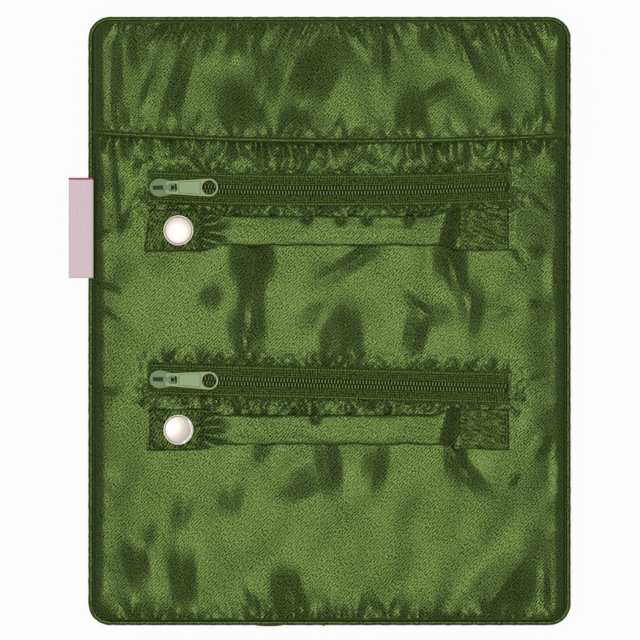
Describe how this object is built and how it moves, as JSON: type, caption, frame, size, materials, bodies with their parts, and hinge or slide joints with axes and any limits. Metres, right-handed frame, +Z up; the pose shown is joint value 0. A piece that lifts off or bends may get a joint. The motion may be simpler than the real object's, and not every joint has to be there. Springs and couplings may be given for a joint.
{
  "type": "jewelry roll",
  "caption": "Padded fold-up jewelry roll with piped edge, zip pockets, snap-down ring bars and a slip pocket, stored open and flat.",
  "frame": {"origin": "middle of the open panel, on its underside", "axes": "+X to the right across the panel, +Y along its length towards the slip pocket, +Z up out of the lining"},
  "size_m": [0.2069, 0.251, 0.0139],
  "materials": {
    "satin": "green satin with a fine diagonal weave",
    "outer_cloth": "plain crimson woven cloth",
    "bag_cloth": "thin plain cloth",
    "wadding": "loose fibre",
    "zip_tape": "herringbone woven tape",
    "coil_nylon": "moulded nylon",
    "painted_metal": "grey-green gloss paint",
    "nickel": "polished nickel plate",
    "label_tape": "smooth woven tape with no lettering"
  },
  "bodies": {
    "lower_section": {"lower_section_cover": "outer_cloth", "lower_section_wadding": "wadding", "lower_section_lining": "satin", "lower_section_piping_left": "satin", "lower_section_piping_right": "satin", "zip_2_tape_upper": "zip_tape", "zip_2_tape_lower": "zip_tape", "zip_2_coil_upper": "coil_nylon", "zip_2_coil_lower": "coil_nylon", "zip_2_pocket_bag": "bag_cloth", "ring_bar_2_anchor": "satin", "snap_2_stud": "nickel", "snap_2_eyelet": "nickel"},
    "upper_section": {"upper_section_cover": "outer_cloth", "upper_section_wadding": "wadding", "upper_section_lining": "satin", "upper_section_piping_left": "satin", "upper_section_piping_right": "satin", "label": "label_tape", "zip_1_tape_upper": "zip_tape", "zip_1_tape_lower": "zip_tape", "zip_1_coil_upper": "coil_nylon", "zip_1_coil_lower": "coil_nylon", "zip_1_pocket_bag": "bag_cloth", "ring_bar_1_anchor": "satin", "snap_1_stud": "nickel", "snap_1_eyelet": "nickel"},
    "pocket_section": {"pocket_section_cover": "outer_cloth", "pocket_section_wadding": "wadding", "pocket_section_lining": "satin", "pocket_section_piping": "satin", "slip_pocket_front": "satin", "slip_pocket_piping": "satin"},
    "flap_section": {"flap_section_cover": "outer_cloth", "flap_section_wadding": "wadding", "flap_section_lining": "satin", "flap_section_piping": "satin"},
    "slider_1": {"zip_1_slider": "painted_metal"},
    "pull_1": {"zip_1_pull": "painted_metal"},
    "bar_1": {"ring_bar_1_cover": "satin", "ring_bar_1_filling": "wadding", "snap_1_cap": "nickel", "snap_1_socket": "nickel"},
    "slider_2": {"zip_2_slider": "painted_metal"},
    "pull_2": {"zip_2_pull": "painted_metal"},
    "bar_2": {"ring_bar_2_cover": "satin", "ring_bar_2_filling": "wadding", "snap_2_cap": "nickel", "snap_2_socket": "nickel"}
  },
  "joints": [
    {"name": "fold_upper", "type": "hinge", "parent": "lower_section", "child": "upper_section", "pos_m": [0, 0.0166, 0.0186], "axis": [1, 0, 0], "range_deg": [0, 180]},
    {"name": "fold_pocket", "type": "hinge", "parent": "upper_section", "child": "pocket_section", "pos_m": [0, 0.071, 0.0126], "axis": [1, 0, 0], "range_deg": [0, 180]},
    {"name": "fold_flap", "type": "hinge", "parent": "lower_section", "child": "flap_section", "pos_m": [0, -0.066, 0.0075], "axis": [-1, 0, 0], "range_deg": [0, 125]},
    {"name": "zip_1_slide", "type": "slide", "parent": "upper_section", "child": "slider_1", "axis": [-1, 0, 0], "range_m": [-0.13, 0], "deforming": ["zip_1_coil_upper", "zip_1_coil_lower"]},
    {"name": "zip_1_pull_swing", "type": "hinge", "parent": "slider_1", "child": "pull_1", "pos_m": [-0.0667, 0.0548, 0.0088], "axis": [0, 1, 0], "range_deg": [-150, 0]},
    {"name": "ring_bar_1_swing", "type": "hinge", "parent": "upper_section", "child": "bar_1", "pos_m": [0.0523, 0.0372, 0.0072], "axis": [0, -1, 0], "range_deg": [-110, 0]},
    {"name": "zip_2_slide", "type": "slide", "parent": "lower_section", "child": "slider_2", "axis": [-0.9997, 0.0262, 0], "range_m": [-0.13, 0], "deforming": ["zip_2_coil_upper", "zip_2_coil_lower"]},
    {"name": "zip_2_pull_swing", "type": "hinge", "parent": "slider_2", "child": "pull_2", "pos_m": [-0.06668, -0.02405, 0.0088], "axis": [0.0262, 0.9997, 0], "range_deg": [-150, 0]},
    {"name": "ring_bar_2_swing", "type": "hinge", "parent": "lower_section", "child": "bar_2", "pos_m": [0.0523, -0.0446, 0.0072], "axis": [0, -1, 0], "range_deg": [-110, 0]}
  ]
}
